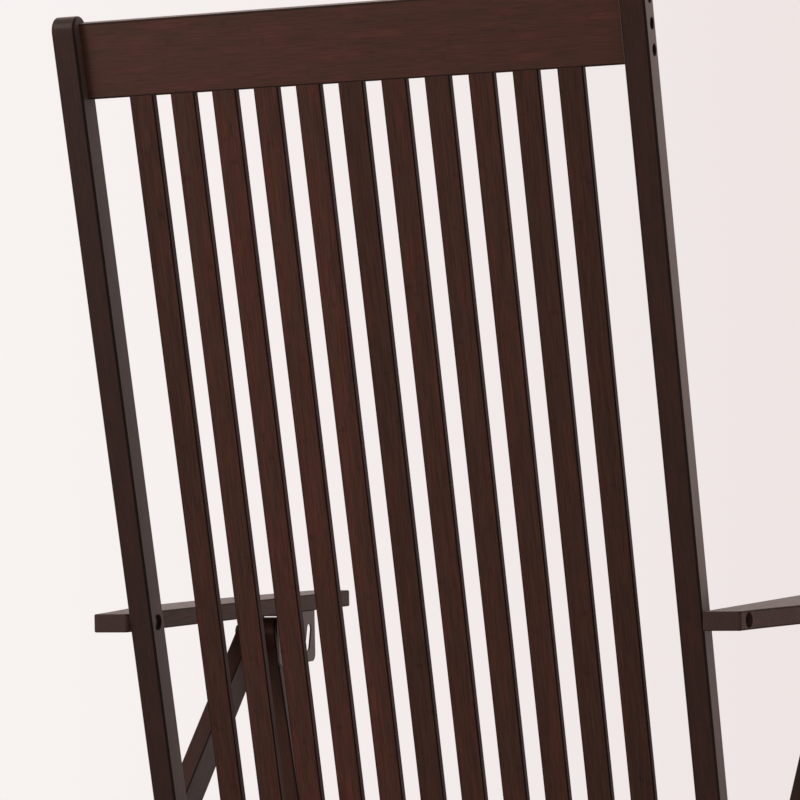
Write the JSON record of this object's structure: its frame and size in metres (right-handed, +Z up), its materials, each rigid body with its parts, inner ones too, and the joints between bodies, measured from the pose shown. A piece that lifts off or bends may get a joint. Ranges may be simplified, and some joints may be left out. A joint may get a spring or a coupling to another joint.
{
  "type": "folding recliner",
  "caption": "High-backed folding recliner of dark stained bamboo with a slatted back and seat, flared arms and slotted arm brackets that set the back's angle.",
  "frame": {"origin": "on the floor, below the middle of the chair", "axes": "+X to the chair's left side, -Y to its front, +Z up"},
  "size_m": [0.688, 0.8768, 1.1474],
  "materials": {
    "frame_bamboo": "satin lacquer over dark stain",
    "slat_bamboo": "satin lacquer over dark stain",
    "bracket_paint": "bronze-grey powder coat",
    "screw_steel": "blackened",
    "pad_rubber": "matt"
  },
  "bodies": {
    "rear_frame": {"left_rear_leg": "frame_bamboo", "right_rear_leg": "frame_bamboo", "rear_leg_rail": "frame_bamboo", "rear_rail_screws": "screw_steel", "rear_foot_pads": "pad_rubber", "apex_bolts": "screw_steel"},
    "front_frame": {"left_front_leg": "frame_bamboo", "right_front_leg": "frame_bamboo", "seat_support_bar": "frame_bamboo", "front_leg_rail": "frame_bamboo", "front_rail_screws": "screw_steel", "front_foot_pads": "pad_rubber"},
    "seat": {"left_seat_side_rail": "frame_bamboo", "right_seat_side_rail": "frame_bamboo", "seat_front_rail": "frame_bamboo", "seat_rear_rail": "frame_bamboo", "seat_screws": "screw_steel", "left_seat_stop_block": "frame_bamboo", "right_seat_stop_block": "frame_bamboo", "seat_slat_01": "slat_bamboo", "seat_slat_02": "slat_bamboo", "seat_slat_03": "slat_bamboo", "seat_slat_04": "slat_bamboo", "seat_slat_05": "slat_bamboo", "seat_slat_06": "slat_bamboo", "seat_slat_07": "slat_bamboo", "seat_slat_08": "slat_bamboo", "seat_slat_09": "slat_bamboo", "seat_slat_10": "slat_bamboo", "seat_slat_11": "slat_bamboo"},
    "crossing_bolts": {"crossing_bolts": "screw_steel"},
    "backrest": {"left_back_stile": "frame_bamboo", "right_back_stile": "frame_bamboo", "back_top_rail": "frame_bamboo", "back_bottom_rail": "frame_bamboo", "back_rail_screws": "screw_steel", "back_slat_01": "slat_bamboo", "back_slat_02": "slat_bamboo", "back_slat_03": "slat_bamboo", "back_slat_04": "slat_bamboo", "back_slat_05": "slat_bamboo", "back_slat_06": "slat_bamboo", "back_slat_07": "slat_bamboo", "back_slat_08": "slat_bamboo", "back_slat_09": "slat_bamboo", "back_slat_10": "slat_bamboo", "back_slat_11": "slat_bamboo"},
    "left_arm_pin": {"left_arm_pin": "screw_steel"},
    "right_arm_pin": {"right_arm_pin": "screw_steel"},
    "left_arm": {"left_arm": "frame_bamboo", "left_arm_bracket": "bracket_paint", "left_bracket_screws": "screw_steel"},
    "right_arm": {"right_arm": "frame_bamboo", "right_arm_bracket": "bracket_paint", "right_bracket_screws": "screw_steel"}
  },
  "joints": [
    {"name": "leg_fold", "type": "hinge", "parent": "rear_frame", "child": "front_frame", "pos_m": [0, -0.19358, 0.60546], "axis": [1, 0, 0], "range_deg": [0, 61]},
    {"name": "seat_fold", "type": "hinge", "parent": "rear_frame", "child": "seat", "pos_m": [0, 0.07538, 0.33931], "axis": [-1, 0, 0], "range_deg": [0, 33.6]},
    {"name": "back_fold", "type": "hinge", "parent": "rear_frame", "child": "crossing_bolts", "pos_m": [0, 0.07538, 0.33931], "axis": [1, 0, 0], "range_deg": [0, 53.4]},
    {"name": "back_recline", "type": "hinge", "parent": "crossing_bolts", "child": "backrest", "pos_m": [0, 0.07538, 0.33931], "axis": [-1, 0, 0], "range_deg": [0, 15.6]},
    {"name": "left_arm_level", "type": "hinge", "parent": "backrest", "child": "left_arm_pin", "pos_m": [0.28, 0.16375, 0.6113], "axis": [1, 0, 0], "range_deg": [0, 11.8]},
    {"name": "left_arm_fold", "type": "hinge", "parent": "left_arm_pin", "child": "left_arm", "pos_m": [0.28, 0.16375, 0.6113], "axis": [-1, 0, 0], "range_deg": [0, 97.7]},
    {"name": "right_arm_level", "type": "hinge", "parent": "backrest", "child": "right_arm_pin", "pos_m": [-0.28, 0.16375, 0.6113], "axis": [1, 0, 0], "range_deg": [0, 11.8]},
    {"name": "right_arm_fold", "type": "hinge", "parent": "right_arm_pin", "child": "right_arm", "pos_m": [-0.28, 0.16375, 0.6113], "axis": [-1, 0, 0], "range_deg": [0, 97.7]}
  ],
  "couplings": [
    {"joint": "seat_fold", "follows": "leg_fold", "ratio": 0.55},
    {"joint": "back_fold", "follows": "leg_fold", "ratio": 0.875},
    {"joint": "left_arm_fold", "follows": "leg_fold", "ratio": 1.6},
    {"joint": "right_arm_fold", "follows": "leg_fold", "ratio": 1.6},
    {"joint": "left_arm_level", "follows": "back_recline", "ratio": 0.75},
    {"joint": "right_arm_level", "follows": "back_recline", "ratio": 0.75}
  ]
}
